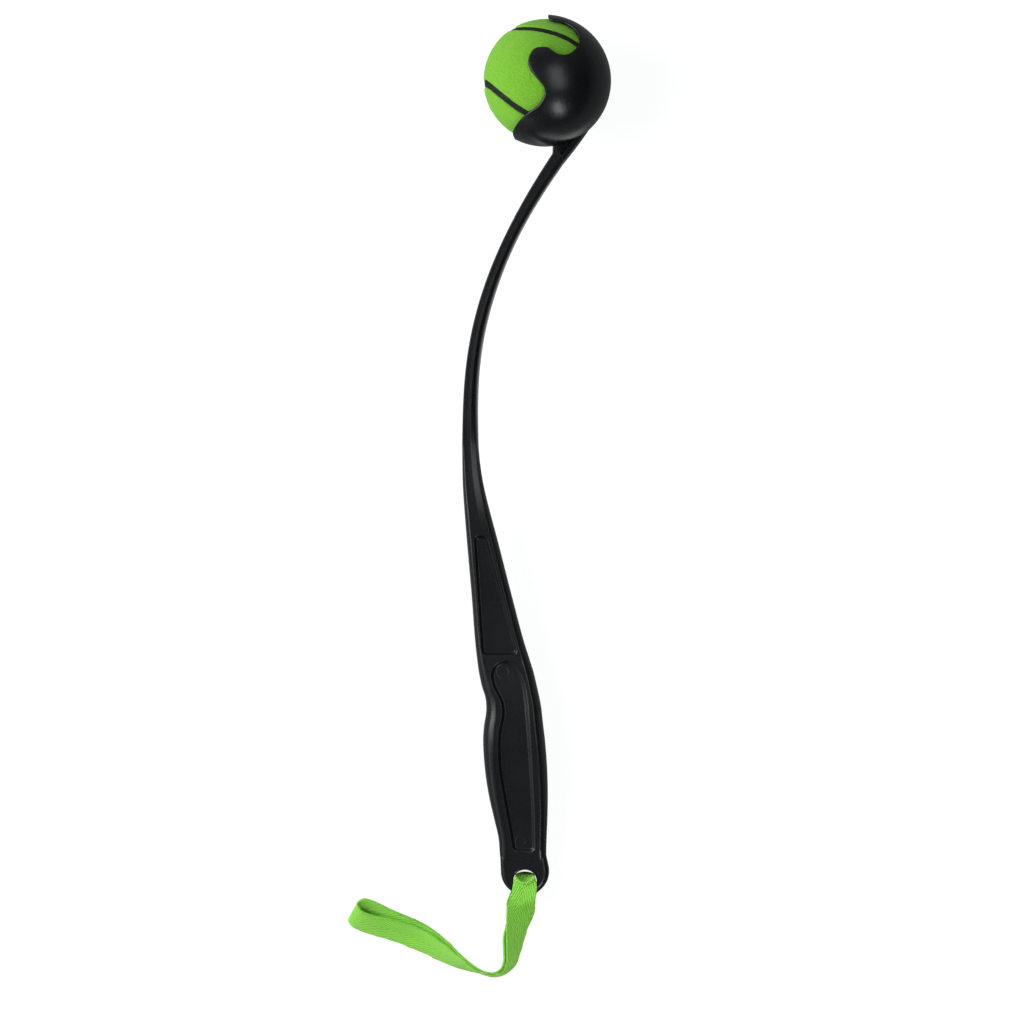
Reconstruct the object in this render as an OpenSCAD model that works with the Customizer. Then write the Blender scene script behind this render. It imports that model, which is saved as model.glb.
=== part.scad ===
// Ball launcher: a sprung arm with a ball cup at one end and a grip at the other,
// a felt ball held in the cup and a webbing wrist loop through the end of the grip.
// The launcher lies on its side. It is drawn flat about its strap hole, then laid on the ground.

/* [Ball] */
// Outside diameter of the felt ball
ball_d = 65; // [60:0.5:70]
// Thickness of the felt cover
felt_t = 2.8; // [2.4:0.1:3.6]
// Wall of the hollow rubber core
core_wall = 3.6; // [2.5:0.1:5]
// Width of the rubber seam between the felt panels
seam_w = 2.4; // [1.6:0.1:4]
// How far the seam lies below the felt
seam_drop = 0.4; // [0.2:0.1:1]

/* [Cup] */
// Wall of the cup
cup_wall = 1.8; // [1.4:0.1:3]
// Room between the ball and the cup
cup_room = 0.3; // [0.2:0.05:0.6]
// Cup centre to the right of the strap hole
cup_across = 10.5; // [0:0.5:20]
// Cup centre above the strap hole
reach = 421; // [390:1:460]

/* [Arm] */
// Width of the arm below the cup
arm_w = 6.8; // [5.6:0.2:9]
// Thickness of the arm
arm_t = 12.4; // [10:0.2:15]
// Angle of the arm from upright where it meets the cup
arm_lean = 33.5; // [28:0.5:38]
// Straight pull of the curve above the neck
low_pull = 40; // [25:1:55]
// Straight pull of the curve below the cup
high_pull = 84; // [64:1:100]
// Depth of the pocket in the arm's root
root_pocket = 3.4; // [1:0.2:4]

/* [Handle] */
// Neck, where the arm starts, above the strap hole
neck_at = 230; // [210:1:250]
// Middle of the neck to the left of the strap hole
neck_left = 28.7; // [26:0.1:32]
// Width of the neck
neck_w = 8.4; // [7:0.2:10]
// Thickness of the grip at its foot
foot_t = 13.4; // [12:0.2:15]
// Thickness of the grip at the palm swell
palm_t = 24; // [22:0.2:28]
// Thickness of the handle along the label panel
panel_t = 18.4; // [16:0.2:21]
// Roundness of the handle's flanks, across
flank = 4; // [2.8:0.1:5]
// Depth of the recesses in the handle's sides
recess = 1.8; // [0.8:0.1:2.4]

/* [Lug] */
// Thickness of the lug
lug_t = 10.4; // [8:0.2:11]
// Radius of the lug's end about the strap hole
lug_end_r = 8.8; // [8.4:0.1:9.4]
// Radius of the lug where it is widest
lug_r = 12.7; // [12.4:0.1:13]
// Diameter of the strap hole
hole_d = 12.4; // [11.8:0.1:13.6]
// Chamfer on the strap hole
hole_chamfer = 1; // [0.4:0.1:1.4]

/* [Strap] */
// Width of the webbing
strap_w = 15; // [14:0.5:16]
// Thickness of the webbing
strap_t = 1.1; // [0.8:0.1:1.3]
// Room between the webbing and the lug
strap_room = 0.3; // [0.2:0.05:0.5]
// Length of the sewn lap in the webbing
lap_len = 18; // [12:1:24]
// Rows of stitching across the lap
stitch_rows = 6; // [3:1:9]

/* [Hidden] */
$fn = 96;
black = "#1b1d1f";
lime = "#8ad24a";
felt_green = "#84cc2e";
seam_grey = "#3a3f3c";
rubber = "#55584f";
over = 40;
glue = 0.3;
ball_r = ball_d / 2;
core_r = ball_r - felt_t - glue;
cup_r = ball_r + cup_room + cup_wall;

// Curves through hand-set stations

// Place of x among the first values of a table
function span_at(table, x, i = 0) = i >= len(table) - 2 || x < table[i + 1][0] ? i : span_at(table, x, i + 1);

// Slope of column k at row i
function slope(table, i, k) =
  let (a = max(i - 1, 0), b = min(i + 1, len(table) - 1))
  (table[b][k] - table[a][k]) / (table[b][0] - table[a][0]);

// Smooth value of column k at x
function along(table, x, k) =
  let (i = span_at(table, x),
       h = table[i + 1][0] - table[i][0],
       t = (x - table[i][0]) / h,
       s = t * t * (3 - 2 * t))
  table[i][k] * (1 - s) + table[i + 1][k] * s
    + h * t * (1 - t) * ((1 - t) * slope(table, i, k) - t * slope(table, i + 1, k));

// Even curve through points, open at both ends, x counted in points
function through(points, x) =
  let (n = len(points),
       i = min(floor(x), n - 2),
       t = x - i,
       p0 = points[max(i - 1, 0)],
       p1 = points[i],
       p2 = points[i + 1],
       p3 = points[min(i + 2, n - 1)])
  0.5 * (2 * p1 + (p2 - p0) * t + (2 * p0 - 5 * p1 + 4 * p2 - p3) * t * t
    + (3 * p1 - p0 - 3 * p2 + p3) * t * t * t);

// Points of an outline with each corner rounded to radius r
function rounded(points, r, steps = 5) =
  let (n = len(points))
  [for (i = [0:n - 1])
    let (p = points[i],
         a = points[(i + n - 1) % n] - p,
         b = points[(i + 1) % n] - p,
         ua = a / norm(a),
         ub = b / norm(b),
         half = acos(ua * ub) / 2,
         mid = (ua + ub) / norm(ua + ub),
         centre = p + mid * r / sin(half),
         turn = 90 - half,
         side = [-mid[1], mid[0]] * sign(cross(ua, ub)))
    for (k = [0:steps])
      let (w = turn * (2 * k / steps - 1))
      centre - r * (mid * cos(w) - side * sin(w))];

// Skin of rings that have the same number of points, capped at both ends
module skin(rings) {
  n = len(rings[0]);
  m = len(rings);
  sides = [for (i = [0:m - 2], j = [0:n - 1])
    let (a = i * n + j, b = i * n + (j + 1) % n)
    each [[a, b, b + n], [a, b + n, a + n]]];
  caps = [[for (j = [n - 1:-1:0]) j], [for (j = [0:n - 1]) (m - 1) * n + j]];
  polyhedron([for (ring = rings) each ring], concat(sides, caps));
}

// Quarter of a rounded section, from angle a on, about the corner that x and z give
corner_steps = 4;
flank_depth = 0.75;
widest_flank = 0.42;
function corner(x, z, rx, rz, a) = [for (k = [0:corner_steps])
  let (w = a + 90 * k / corner_steps)
  [x + rx * cos(w), z + rz * sin(w)]];

// Section of the moulding: left and right edge, half thickness, rounding of each, points of its upper face
function section(left, right, half_t, rounds, face = []) =
  let (widest = (right - left) * widest_flank,
       rl = min(rounds[0], widest),
       rr = min(rounds[1], widest),
       rz = half_t * flank_depth,
       z = half_t - rz,
       n = len(face))
  concat(
    corner(right - rr, z, rr, rz, 0),
    face,
    corner(left + rl, z, rl, rz, 90),
    corner(left + rl, -z, rl, rz, 180),
    [for (i = [1:n]) [face[n - i][0], -face[n - i][1]]],
    corner(right - rr, -z, rr, rz, 270));

// Handle outline: share of the way from the foot to the neck, left edge, right edge
foot_at = 14;
neck_x = -neck_left;
outline = [
  [0, -13.1, 11.1], [0.04, -13.8, 11.3], [0.085, -16, 11.7], [0.135, -18.5, 11.9], [0.18, -20.2, 11.8],
  [0.23, -21.4, 11.3], [0.28, -21.9, 10.4], [0.315, -21.4, 9.5], [0.34, -20.5, 8.9], [0.36, -20.2, 8.4],
  [0.385, -20.8, 7.4], [0.41, -22.5, 6.2], [0.445, -24.1, 4.4], [0.475, -25, 2.4], [0.525, -26.2, -1],
  [0.62, -27.7, -6.4], [0.765, -30.4, -14.4], [0.86, -32, -19.8], [0.91, -32.6, -22.2],
  [0.96, -32.8, -23.8], [1, neck_x - neck_w / 2, neck_x + neck_w / 2]];
foot_fall = 1;
thickness = [
  [0, foot_t / 2 - foot_fall], [0.014, foot_t / 2], [0.27, palm_t / 2], [0.52, panel_t / 2],
  [0.78, panel_t / 2], [1, arm_t / 2]];
function handle_y(share) = foot_at + share * (neck_at - foot_at);
function half_t(share) = along(thickness, share, 1);

// Rest on the ground: the cup and the palm swell touch it
rest_steps = 40;
first_guess = 3;
guesses = 8;
function lowest(a) = min([for (i = [0:rest_steps])
  handle_y(i / rest_steps) * sin(a) - half_t(i / rest_steps) * cos(a)]);
palm_at = handle_y(thickness[2][0]);
function settle(a, n) = n == 0 ? a :
  settle(a + (lowest(a) + cup_r - reach * sin(a)) / (reach - palm_at) * 180 / PI, n - 1);
lie_angle = settle(first_guess, guesses);
lift = -lowest(lie_angle);

// Strap hole, lug and the room that the webbing takes there
hole_r = hole_d / 2;
lean_room = lug_t / 2 * sin(lie_angle) + strap_room;
curl_r = hole_r - lean_room - strap_t / 2;
floor_gap = 0.1;
ply_low = floor_gap + strap_t / 2;
ply_high = lift + lug_t / 2 + strap_room + strap_t / 2;
columns = 6;

// Height of the webbing's lower edge where its lap lies under it
stitch_t = 0.5;
lap_gap = 0.1;
lap_edge = 2 * strap_t + 2 * lap_gap + stitch_t;

// Route of the webbing about the strap hole: a point its raised edge leans to, then its edge on the ground
route = [
  [[-9.4, -16.3, 13.6], [3.6, -16, 6]],
  [[-9.7, -22.5, 13.4], [1.4, -23.5, 3.4]],
  [[-9.6, -30.5, 14], [-0.8, -31.5, 2]],
  [[-9.5, -37.6, 14.6], [-2.9, -38.4, 1.2]],
  [[-9.8, -42.8, 15.2], [-5.3, -44.6, 0.8]],
  [[-12.2, -47.6, 15.4], [-10.6, -49.2, ply_low]],
  [[-17.6, -49.6, 15.3], [-17, -50.6, ply_low]],
  [[-24.7, -47.6, 15.2], [-24.4, -48.6, ply_low]],
  [[-34.2, -40.5, 14], [-35, -46, ply_low]],
  [[-43, -33, 12], [-45, -42, ply_low]],
  [[-54.2, -25.2, 10.2], [-57, -36.6, ply_low]],
  [[-68.9, -20.7, 10.6], [-71, -31.2, ply_low]],
  [[-79, -18.6, 11.4], [-82, -28, ply_low]],
  [[-85.6, -16.4, 11.6], [-90, -24.6, ply_low]],
  [[-88.2, -12, 11.4], [-92.8, -20.6, 1]],
  [[-82.6, -9.8, 13.8], [-87, -17.8, 0.8 * lap_edge]],
  [[-67.5, -17, 12.6], [-70.6, -26, 0.7 * lap_edge]],
  [[-54, -22.6, 10.6], [-55.6, -33, ply_low]],
  [[-42.4, -31, 11.8], [-43, -39.8, ply_low]],
  [[-33.2, -39.4, 14], [-33.6, -44.5, ply_low]],
  [[-24.2, -46, 15.2], [-24.1, -47.1, ply_low]],
  [[-17.6, -48.1, 15.3], [-17.3, -49.1, ply_low]],
  [[-12.9, -46.2, 15.3], [-11.7, -47.8, ply_low]],
  [[-11.1, -41.8, 15], [-6.9, -43.5, ply_low]],
  [[-10.8, -37, 13.6], [-4.6, -37.6, ply_low]],
  [[-10.4, -30.5, 11], [-1.9, -31.2, ply_low]],
  [[-9.6, -22.5, 6], [2.8, -23, ply_low]],
  [[-9.4, -16, 1.8], [5.2, -16, ply_low]],
  [[-9.4, -12, ply_low], [5.4, -12, ply_low]]];
route_steps = 3;

// Rows of the webbing in the strap hole, from below to above: place and half width across, place of
// the middle and rise of the edges, all in curl radii, then heights of left edge, middle and right edge
hole_rows = [
  [-0.3, 1.4, -1.62, 0, 0, 0, 0], [-0.1, 1.22, -0.8, 0, 0, 0, 0], [0, 1, 0.1, 0, 0, 0, 0],
  [0, 0.84, 0.66, -0.12, 0.06, 0.06, 0.06], [0, 0.78, 0.84, -0.22, 0.18, 0.18, 0.18],
  [0, 0.78, 0.74, -0.1, 0.37, 0.37, 0.37], [0, 0.8, 0.48, 0.12, 0.6, 0.6, 0.6],
  [0, 0.84, 0.02, 0.52, 0.86, 0.86, 0.86], [0, 1, -0.24, 0.72, 1.06, 1.04, 1.06],
  [-0.02, 1.22, -0.66, 0.66, 1.05, 1.03, 1.05], [-0.06, 1.28, -1.2, 0.26, 1.03, 1, 1.03],
  [-0.2, 1.33, -1.8, 0.08, 1.02, 1, 1.01], [-0.36, 1.33, -2.43, 0.02, 1.02, 0.95, 0.8]];

// Rows of guide points across the webbing, its full width from the edge on the ground
function raised(r) = r[1] + (r[0] - r[1]) / norm(r[0] - r[1]) * strap_w;
function row_between(a, b) = [for (j = [0:columns]) a + (b - a) * j / columns];
function hole_row(r) = [for (j = [0:columns])
  let (q = 2 * j / columns - 1)
  [(r[0] + r[1] * q) * curl_r,
   (r[2] + r[3] * q * q) * curl_r,
   ply_low + (ply_high - ply_low) * (r[5] + (r[q < 0 ? 4 : 6] - r[5]) * q * q)]];
route_rows = [for (r = route) row_between(raised(r), r[1])];
guides = concat(route_rows, [for (r = hole_rows) hole_row(r)]);
turns = len(guides);

// Row of the webbing at x, counted in guide rows round the closed loop
function loop_row(x) =
  let (i = floor(x),
       t = x - i)
  [for (j = [0:columns])
    through([for (k = [-1:2]) guides[(i + k + turns) % turns][j]], 1 + t)];
strap_rows = [for (i = [0:turns * route_steps - 1]) loop_row(i / route_steps)];

// Outward normal of a grid of rows at row i, column j
function normal_at(rows, i, j, closed) =
  let (n = len(rows),
       m = len(rows[0]) - 1,
       a = closed ? (i + n - 1) % n : max(i - 1, 0),
       b = closed ? (i + 1) % n : min(i + 1, n - 1),
       c = max(j - 1, 0),
       d = min(j + 1, m),
       v = cross(rows[b][j] - rows[a][j], rows[i][d] - rows[i][c]))
  v / norm(v);

// Solid between two offsets of a grid of rows, a closed band or an open strip
module band(rows, low, high, closed) {
  n = len(rows);
  m = len(rows[0]);
  points = [for (h = [low, high], i = [0:n - 1], j = [0:m - 1])
    rows[i][j] + normal_at(rows, i, j, closed) * h];
  last = closed ? n - 1 : n - 2;
  faces = [for (i = [0:last])
    let (i2 = (i + 1) % n, up = n * m)
    each concat(
      [for (j = [0:m - 2])
        let (a = i * m + j, b = i2 * m + j)
        each [[a, b + 1, a + 1], [a, b, b + 1],
              [a + up, b + 1 + up, b + up], [a + up, a + 1 + up, b + 1 + up]]],
      [[i * m, i2 * m + up, i2 * m], [i * m, i * m + up, i2 * m + up],
       [i * m + m - 1, i2 * m + m - 1 + up, i * m + m - 1 + up],
       [i * m + m - 1, i2 * m + m - 1, i2 * m + m - 1 + up]])];
  ends = closed ? [] : concat(
    [for (j = [0:m - 2]) each [[j, j + 1 + n * m, j + n * m], [j, j + 1, j + 1 + n * m]]],
    [for (j = [0:m - 2])
      let (a = (n - 1) * m + j)
      each [[a, a + 1 + n * m, a + 1], [a, a + n * m, a + 1 + n * m]]]);
  polyhedron(points, concat(faces, ends));
}

// Middle of the whole object seen from above, where its origin stands
strap_points = [for (row = strap_rows) each row];
left_x = min([for (p = strap_points) p[0]]) - strap_t / 2;
right_x = cup_across + cup_r;
foot_y = min([for (p = strap_points) p[1]]) - strap_t / 2;
top_y = reach * cos(lie_angle) + cup_r;
origin = [(left_x + right_x) / 2, (foot_y + top_y) / 2, 0];

module on_ground() {
  translate(-origin)
    children();
}

module lying() {
  on_ground()
    translate([0, 0, lift])
      rotate([lie_angle, 0, 0])
        children();
}

// Cup: a ball socket cut to a waved rim with a prong on each side

// Rim seen from the side, in cup radii about the cup's centre, from the top prong to the bottom prong
rim = [
  [0.03, 1.1], [0.07, 0.96], [0.29, 0.91], [0.45, 0.81], [0.53, 0.67], [0.5, 0.55], [0.38, 0.445],
  [0.26, 0.425], [0.15, 0.46], [0.06, 0.525], [-0.035, 0.545], [-0.16, 0.52], [-0.24, 0.42], [-0.265, 0.3],
  [-0.24, 0.2], [-0.17, 0.11], [-0.09, 0.015], [-0.02, -0.075], [-0.01, -0.17], [-0.05, -0.27],
  [-0.13, -0.37], [-0.26, -0.46], [-0.385, -0.585], [-0.47, -0.705], [-0.5, -0.8], [-0.47, -0.9],
  [-0.44, -1.1]];
rim_steps = 3;
rim_curve = [for (i = [0:(len(rim) - 1) * rim_steps]) through(rim, i / rim_steps)];
mouth = concat(rim_curve, [[-1.4, -1.1], [-1.4, 1.1]]) * cup_r;

module at_cup() {
  lying()
    translate([cup_across, reach, 0])
      children();
}

// Arm: a bar along one curve from the neck to its root below the cup
root_stand = 2.9;
root_angle = -75.6;
root_run = 6;
lean = [sin(arm_lean), cos(arm_lean)];
root = [cup_across, reach] + (cup_r + root_stand) * [cos(root_angle), sin(root_angle)] - root_run * lean;
pull = [[neck_x, neck_at], [neck_x, neck_at + low_pull], root - high_pull * lean, root];
function arm_point(t) =
  pow(1 - t, 3) * pull[0] + 3 * pow(1 - t, 2) * t * pull[1]
    + 3 * (1 - t) * t * t * pull[2] + pow(t, 3) * pull[3];
function arm_heading(t) =
  let (d = pow(1 - t, 2) * (pull[1] - pull[0]) + 2 * (1 - t) * t * (pull[2] - pull[1])
         + t * t * (pull[3] - pull[2]))
  d / norm(d);
widths = [[0, neck_w], [0.3, (neck_w + 2 * arm_w) / 3], [0.6, arm_w], [1, arm_w]];
arm_steps = 20;
arm_flank = 2.8;
root_flank = 0.9;
arm_flanks = [[0, 2.6], [0.45, 2.5], [0.8, 1.2], [1, root_flank]];
arm_rings = [for (i = [0:arm_steps])
  let (t = i / arm_steps,
       centre = arm_point(t),
       heading = arm_heading(t),
       width = along(widths, t, 1))
  [for (p = section(-width / 2, width / 2, arm_t / 2, [along(arm_flanks, t, 1), arm_flank]))
    [centre[0] + p[0] * heading[1], centre[1] - p[0] * heading[0], p[1]]]];

module arm() {
  color(black)
    lying()
      skin(arm_rings);
}

// Cup with the root that joins it to the arm: a stub of the arm, a web and a pocket on each side
stub_run = 22;
web_drop = 1;
web_t = arm_t - 2 * web_drop;
web_left = -arm_w / 2;
web = [
  [0.4, 0], [0.4, web_left + 0.5], [2.5, web_left - 0.8], [6, web_left - 2.8], [14, web_left - 5], [20, 0]];
pocket = [[3.4, 0.8], [6.6, web_left - 1.2], [16, web_left - 2.4], [16, 1.6]];
pocket_r = 0.6;

// Frame of the root: X across the arm to the right, Y along it towards the cup
module at_root() {
  translate(root)
    rotate(-arm_lean)
      children();
}
function across(points) = [for (p = points) [p[1], p[0]]];

module root_block() {
  difference() {
    union() {
      rotate([-90, 0, 0])
        linear_extrude(stub_run)
          polygon(section(-arm_w / 2, arm_w / 2, arm_t / 2, [root_flank, arm_flank]));
      linear_extrude(web_t, center = true)
        polygon(across(web));
    }
    for (side = [0, 1])
      mirror([0, 0, side])
        translate([0, 0, arm_t / 2 - root_pocket])
          linear_extrude(over)
            polygon(rounded(across(pocket), pocket_r));
  }
}

module arm_root() {
  color(black)
    lying()
      difference() {
        at_root()
          root_block();
        translate([cup_across, reach, 0])
          rotate([0, 90, 0])
            sphere(cup_r);
      }
}

module cup() {
  color(black)
    at_cup()
      difference() {
        rotate([0, 90, 0])
          sphere(cup_r);
        rotate([0, 90, 0])
          sphere(ball_r + cup_room);
        linear_extrude(2 * over, center = true)
          polygon(mouth);
      }
}

// Handle: a swelling grip with a finger notch and recessed sides

// Rounding of the flanks: share of the way from the foot to the neck, left and right rounding across
flanks = [
  [0, flank, 0.8 * flank], [0.1, 1.3 * flank, 0.95 * flank], [0.27, 1.55 * flank, 1.1 * flank],
  [0.4, 1.25 * flank, flank], [0.49, 0.7 * flank, 0.9 * flank], [0.78, 0.62 * flank, 0.8 * flank],
  [1, arm_flanks[0][1], arm_flank]];
function rounds_at(share) = [along(flanks, share, 1), along(flanks, share, 2)];

// Grip recess: share of the way from the foot to the neck, left wall, right wall
grip_recess = [
  [0.012, -6, 4.2], [0.065, -8, 4.3], [0.135, -10.7, 3.8], [0.2, -13.2, 3], [0.265, -14.1, 2.2],
  [0.31, -13.4, 1.6], [0.345, -11.9, 1], [0.375, -12.6, 0.5], [0.41, -16.2, -0.6], [0.432, -17.6, -2],
  [0.45, -17.4, -3.9], [0.463, -16, -5.9], [0.471, -13.7, -8], [0.475, -11.6, -9.8]];
// Label panel, a flat floor with straight walls, in the same terms
label_panel = [[0.49, -22.6, -3.6], [0.525, -23.1, -5.6], [0.62, -24.4, -11.1], [0.78, -26.8, -20.3]];
face_edge = 0.2;
end_run = 0.005;
wall_run = 1.1;
wall_share = 0.4;
skim = 0.05;

// Points of the upper face at a share: the walls and floor of a recess, or a bare face
function face_points(share, walls, floor_z) =
  let (z = half_t(share),
       rounds = rounds_at(share),
       left = max(walls[0], along(outline, share, 1) + rounds[0] + face_edge),
       right = min(walls[1], along(outline, share, 2) - rounds[1] - face_edge),
       run = min(wall_run, (right - left) * wall_share))
  [[right, z], [right - run, floor_z], [left + run, floor_z], [left, z]];
function handle_ring(share, walls, floor_z) =
  [for (p = section(along(outline, share, 1), along(outline, share, 2), half_t(share),
                    rounds_at(share), face_points(share, walls, floor_z)))
    [p[0], handle_y(share), p[1]]];
function walls_at(table, share) = [along(table, share, 1), along(table, share, 2)];
function bare_ring(share, walls) = handle_ring(share, walls, half_t(share) - skim);

recess_steps = 30;
recess_from = grip_recess[0][0];
recess_to = grip_recess[len(grip_recess) - 1][0];
label_from = label_panel[0][0];
label_to = label_panel[len(label_panel) - 1][0];
label_z = panel_t / 2 - recess;
foot_walls = walls_at(grip_recess, recess_from);
tip_walls = walls_at(grip_recess, recess_to);
label_low = walls_at(label_panel, label_from);
label_high = walls_at(label_panel, label_to);
neck_face = 0.6;
neck_walls = [neck_x - neck_face, neck_x + neck_face];
neck_steps = 8;
handle_rings = concat(
  [bare_ring(0, foot_walls), bare_ring(recess_from - end_run, foot_walls)],
  [for (i = [0:recess_steps])
    let (share = recess_from + (recess_to - recess_from) * i / recess_steps)
    handle_ring(share, walls_at(grip_recess, share), half_t(share) - recess)],
  [bare_ring(recess_to + end_run, tip_walls), bare_ring(label_from - end_run, label_low)],
  [for (row = label_panel) handle_ring(row[0], [row[1], row[2]], label_z)],
  [for (i = [0:neck_steps])
    let (t = i / neck_steps,
         share = label_to + end_run + (1 - label_to - end_run) * t)
    bare_ring(share, label_high * (1 - t) + neck_walls * t)]);

module handle() {
  color(black)
    lying()
      skin(handle_rings);
}

// Lug: the flat end of the handle with the strap hole, two circles and the sides that touch them
lug_up = 5.2;
lug_side = asin((lug_end_r - lug_r) / lug_up);
lug_flare = [cos(lug_side), sin(lug_side)];
function lug_edge(x) =
  let (corner_at = [x, foot_at - lug_up],
       a = atan2(corner_at[1], corner_at[0]) - acos(lug_r / norm(corner_at)))
  [lug_end_r * lug_flare,
   [0, lug_up] + lug_r * lug_flare,
   [0, lug_up] + lug_r * [cos(a), sin(a)],
   [x, foot_at]];
lug_left = lug_edge(-outline[0][1]);
lug_right = lug_edge(outline[0][2]);
lug_sides = concat(lug_right, [for (i = [len(lug_left) - 1:-1:0]) [-lug_left[i][0], lug_left[i][1]]]);

module lug() {
  color(black)
    lying()
      difference() {
        linear_extrude(lug_t, center = true)
          difference() {
            union() {
              circle(lug_end_r);
              translate([0, lug_up])
                circle(lug_r);
              polygon(lug_sides);
            }
            translate([-over, foot_at])
              square(2 * over);
          }
        cylinder(h = over, r = hole_r, center = true);
        for (side = [0, 1])
          mirror([0, 0, side])
            translate([0, 0, lug_t / 2 - hole_chamfer])
              cylinder(h = 2 * hole_chamfer, r1 = hole_r, r2 = hole_r + 2 * hole_chamfer);
      }
}

// Wrist strap: one loop of webbing, its ends lapped and sewn outside the loop
module wrist_strap() {
  color(lime)
    on_ground()
      band(strap_rows, -strap_t / 2, strap_t / 2, true);
}

// The lap lies under the ply behind, centred this far past a station of the route
lap_station = 15;
lap_past = 0.62;
lap_pitch = norm(route[lap_station + 1][1] - route[lap_station][1]);
lap_steps = 8;
lap_trim = 1;
function lap_row(run) = loop_row(lap_station + lap_past + run / lap_pitch);
lap_low = strap_t / 2 + lap_gap;
lap_high = lap_low + strap_t;

module strap_lap() {
  rows = [for (i = [0:lap_steps])
    [for (j = [lap_trim:columns]) lap_row(lap_len * (i / lap_steps - 0.5))[j]]];
  color(lime)
    on_ground()
      band(rows, lap_low, lap_high, false);
}

stitch_w = 0.7;
stitch_margin = 2;
stitch_inset = 1.4;

module strap_stitching() {
  color(felt_green)
    on_ground()
      for (i = [0:stitch_rows - 1]) {
        run = (lap_len - 2 * stitch_inset) * (i / (stitch_rows - 1) - 0.5);
        rows = [for (e = [-0.5, 0.5])
          [for (j = [stitch_margin:columns - stitch_margin]) lap_row(run + e * stitch_w)[j]]];
        band(rows, lap_high + lap_gap, lap_high + lap_gap + stitch_t, false);
      }
}

// Ball: two rubber half shells, two felt panels and the seam between them
ball_turn = [-90, 37, -117];
seam_bend = 0.25;
seam_lift = 2 * sqrt(seam_bend * (1 - seam_bend));

// Point of the seam on a ball of radius 1
function seam_point(t) =
  let (p = [(1 - seam_bend) * cos(t) + seam_bend * cos(3 * t),
            (1 - seam_bend) * sin(t) - seam_bend * sin(3 * t),
            seam_lift * sin(2 * t)])
  p / norm(p);

// The same point moved sideways over the ball by an angle
function beside_seam(t, angle) =
  let (p = seam_point(t),
       d = seam_point(t + 0.5) - seam_point(t - 0.5),
       side = cross(p, d) / norm(cross(p, d)))
  p * cos(angle) + side * sin(angle);

// Point part of the way along the great circle from a to b
function over_ball(a, b, t) =
  let (w = acos(a * b))
  (a * sin(w * (1 - t)) + b * sin(w * t)) / sin(w);

seam_gap = 0.1;
panel_rows = 34;
panel_columns = 10;
seam_half = asin(seam_w / 2 / ball_r);
felt_half = asin((seam_w / 2 + seam_gap) / ball_r);
panel_end = 45;

// Skin of one felt panel at radius r: an end point, rows of points, an end point
function panel_skin(r) = concat(
  [beside_seam(panel_end, -felt_half) * r],
  [for (i = [1:panel_rows - 1])
    let (s = 180 * i / panel_rows,
         a = beside_seam(panel_end - s, -felt_half),
         b = beside_seam(panel_end + s, -felt_half))
    for (j = [0:panel_columns]) over_ball(a, b, j / panel_columns) * r],
  [beside_seam(panel_end + 180, -felt_half) * r]);

module felt_panel() {
  m = panel_columns + 1;
  count = (panel_rows - 1) * m + 2;
  points = concat(panel_skin(ball_r), panel_skin(core_r + glue));
  body = [for (i = [0:panel_rows - 3], j = [0:panel_columns - 1])
    let (a = 1 + i * m + j, b = a + m)
    each [[a, b + 1, b], [a, a + 1, b + 1]]];
  last = count - 1;
  start = last - m;
  tips = [for (j = [0:panel_columns - 1]) each [[0, 2 + j, 1 + j], [last, start + j, start + j + 1]]];
  outer = concat(body, tips);
  inner = [for (f = outer) [f[0] + count, f[2] + count, f[1] + count]];
  left = concat([0], [for (i = [0:panel_rows - 2]) 1 + i * m], [last]);
  right = concat([0], [for (i = [0:panel_rows - 2]) (i + 1) * m], [last]);
  edges = [for (i = [0:len(left) - 2])
    let (a = left[i], b = left[i + 1], c = right[i], d = right[i + 1])
    each [[a, b + count, a + count], [a, b, b + count], [c, c + count, d + count], [c, d + count, d]]];
  polyhedron(points, concat(outer, inner, edges));
}

module at_ball() {
  at_cup()
    rotate(ball_turn)
      children();
}

module felt_panel_front() {
  color(felt_green)
    at_ball()
      felt_panel();
}

// The back panel is the front one turned over
module felt_panel_back() {
  color(felt_green)
    at_ball()
      rotate([180, 0, 0])
        felt_panel();
}

seam_steps = 96;

module ball_seam() {
  rings = [for (i = [0:seam_steps - 1])
    let (t = 360 * i / seam_steps,
         low = core_r + glue,
         high = ball_r - seam_drop,
         a = beside_seam(t, seam_half),
         b = beside_seam(t, -seam_half))
    [a * low, a * high, b * high, b * low]];
  n = 4;
  faces = [for (i = [0:seam_steps - 1], j = [0:n - 1])
    let (i2 = (i + 1) % seam_steps, j2 = (j + 1) % n)
    each [[i * n + j, i2 * n + j2, i * n + j2], [i * n + j, i2 * n + j, i2 * n + j2]]];
  color(seam_grey)
    at_ball()
      polyhedron([for (ring = rings) each ring], faces);
}

module core_half(up) {
  color(rubber)
    at_ball()
      difference() {
        sphere(core_r);
        sphere(core_r - core_wall);
        translate([-over, -over, up ? -2 * over : 0])
          cube(2 * over);
      }
}

module ball_core_front() {
  core_half(true);
}

module ball_core_back() {
  core_half(false);
}

cup();
arm_root();
arm();
handle();
lug();
wrist_strap();
strap_lap();
strap_stitching();
ball_core_front();
ball_core_back();
felt_panel_front();
felt_panel_back();
ball_seam();
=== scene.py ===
from collections import namedtuple
from math import acos, asin, atan2, cos, floor, pi, radians, sin, sqrt

import bmesh
import bpy
import numpy as np
from mathutils import Euler, Matrix, Vector, noise


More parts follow.
